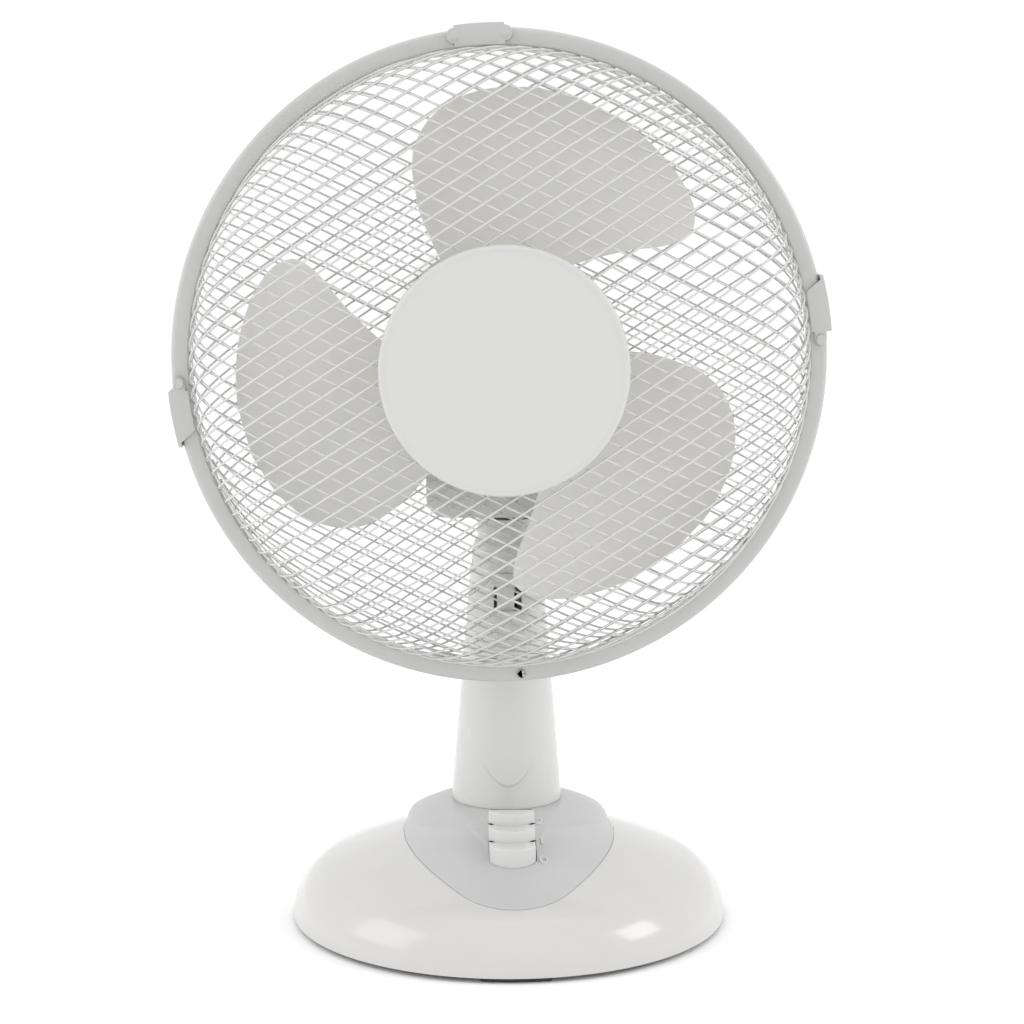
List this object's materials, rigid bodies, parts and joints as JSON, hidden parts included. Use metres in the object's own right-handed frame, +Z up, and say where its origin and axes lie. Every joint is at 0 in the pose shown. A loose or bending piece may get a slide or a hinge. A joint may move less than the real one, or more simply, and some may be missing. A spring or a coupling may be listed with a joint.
{
  "type": "oscillating desk fan",
  "caption": "Small white oscillating desk fan with wire mesh guards, three-blade impeller, tapered column, and a round domed base with push keys.",
  "frame": {"origin": "on the floor, where the column's axis meets it", "axes": "+Z up, the fan blows towards -Y, +X to the right as seen from the front"},
  "size_m": [0.2826, 0.2123, 0.3971],
  "materials": {
    "white_gloss_plastic": "glossy moulded",
    "white_plastic": "satin moulded",
    "grey_white_plastic": "glossy moulded",
    "blade_plastic": "satin, slightly translucent",
    "painted_wire": "white powder coat",
    "zinc_steel": "zinc plated",
    "cast_metal": "die cast",
    "lamination_steel": "stacked laminations",
    "copper_wire": "enamelled copper wire",
    "bronze": "sintered",
    "black_plastic": "moulded",
    "gear_plastic": "moulded acetal",
    "foot_rubber": "moulded"
  },
  "bodies": {
    "base": {"base_cover": "white_gloss_plastic", "control_panel": "grey_white_plastic", "base_plate": "zinc_steel", "ballast_weight": "lamination_steel", "rubber_feet": "foot_rubber", "base_screws": "zinc_steel", "column": "white_gloss_plastic", "column_nut": "white_plastic", "switch_block": "black_plastic", "cord_inlet": "white_plastic", "tilt_bolt": "zinc_steel", "tilt_nut": "zinc_steel"},
    "key_off": {"key_off": "white_gloss_plastic"},
    "key_low": {"key_low": "white_gloss_plastic"},
    "key_high": {"key_high": "white_gloss_plastic"},
    "neck": {"neck_bracket": "white_plastic", "swing_pivot_tube": "zinc_steel", "thrust_washer": "zinc_steel", "link_pin": "zinc_steel"},
    "head": {"gear_case": "cast_metal", "pivot_screw": "zinc_steel", "motor_front_cover": "white_plastic", "motor_rear_cover": "white_plastic", "cover_screws": "zinc_steel", "front_end_shield": "cast_metal", "rear_end_shield": "cast_metal", "stator_core": "lamination_steel", "coil_windings": "copper_wire", "shaft_bushes": "bronze", "motor_bolts": "zinc_steel", "rear_guard_mesh": "painted_wire", "rear_guard_ring": "painted_wire", "rear_guard_seat": "painted_wire", "guard_nut": "white_plastic", "front_guard_mesh": "painted_wire", "front_guard_ring": "white_plastic", "badge_disc": "white_plastic", "badge_backing": "white_plastic", "top_hook": "white_plastic", "clip_rivets": "white_plastic", "ring_screw": "zinc_steel"},
    "clip_right": {"clip_right": "white_plastic"},
    "clip_left": {"clip_left": "white_plastic"},
    "rotor": {"rotor_shaft": "zinc_steel", "rotor_core": "lamination_steel", "impeller": "blade_plastic", "drive_pin": "zinc_steel", "spinner_cap": "white_plastic", "worm": "bronze"},
    "worm_wheel": {"worm_wheel": "gear_plastic"},
    "crank": {"crank_gear": "gear_plastic"},
    "link": {"link_arm": "zinc_steel"},
    "clutch_knob": {"clutch_knob": "white_plastic"}
  },
  "joints": [
    {"name": "head_tilt", "type": "hinge", "parent": "base", "child": "neck", "pos_m": [0, 0, 0.158], "axis": [1, 0, 0], "range_deg": [-20, 12]},
    {"name": "head_swing", "type": "hinge", "parent": "neck", "child": "head", "pos_m": [0, 0, 0.18], "axis": [0, 0, 1], "range_deg": [-40, 40]},
    {"name": "blade_spin", "type": "hinge", "parent": "head", "child": "rotor", "pos_m": [-0.0047, -0.045, 0.2552], "axis": [0, 1, 0], "continuous": true},
    {"name": "worm_wheel_spin", "type": "hinge", "parent": "head", "child": "worm_wheel", "pos_m": [0.0113, 0.052, 0.2552], "axis": [0, 0, 1], "continuous": true},
    {"name": "crank_spin", "type": "hinge", "parent": "head", "child": "crank", "pos_m": [-0.00284, 0.03786, 0.2], "axis": [0, 0, 1], "continuous": true},
    {"name": "link_swing", "type": "hinge", "parent": "neck", "child": "link", "pos_m": [-0.01, 0, 0.1836], "axis": [0, 0, 1], "range_deg": [-40, 40]},
    {"name": "clutch_pull", "type": "slide", "parent": "head", "child": "clutch_knob", "axis": [0, 0, 1], "range_m": [0, 0.006]},
    {"name": "key_off_press", "type": "slide", "parent": "base", "child": "key_off", "axis": [0, 0, -1], "range_m": [0, 0.004], "stiffness_N_per_m": 400, "springref_m": -0.001},
    {"name": "key_low_press", "type": "slide", "parent": "base", "child": "key_low", "axis": [0, 0, -1], "range_m": [0, 0.004], "stiffness_N_per_m": 400, "springref_m": -0.001},
    {"name": "key_high_press", "type": "slide", "parent": "base", "child": "key_high", "axis": [0, 0, -1], "range_m": [0, 0.004], "stiffness_N_per_m": 400, "springref_m": -0.001},
    {"name": "clip_right_open", "type": "hinge", "parent": "head", "child": "clip_right", "pos_m": [0.13196, -0.068, 0.26404], "axis": [0, 1, 0], "range_deg": [0, 60]},
    {"name": "clip_left_open", "type": "hinge", "parent": "head", "child": "clip_left", "pos_m": [-0.14136, -0.068, 0.24636], "axis": [0, 1, 0], "range_deg": [0, 60]}
  ],
  "couplings": [
    {"joint": "worm_wheel_spin", "follows": "blade_spin", "ratio": -0.041667},
    {"joint": "crank_spin", "follows": "blade_spin", "ratio": 0.010417},
    {"joint": "link_swing", "follows": "head_swing", "ratio": 1}
  ]
}
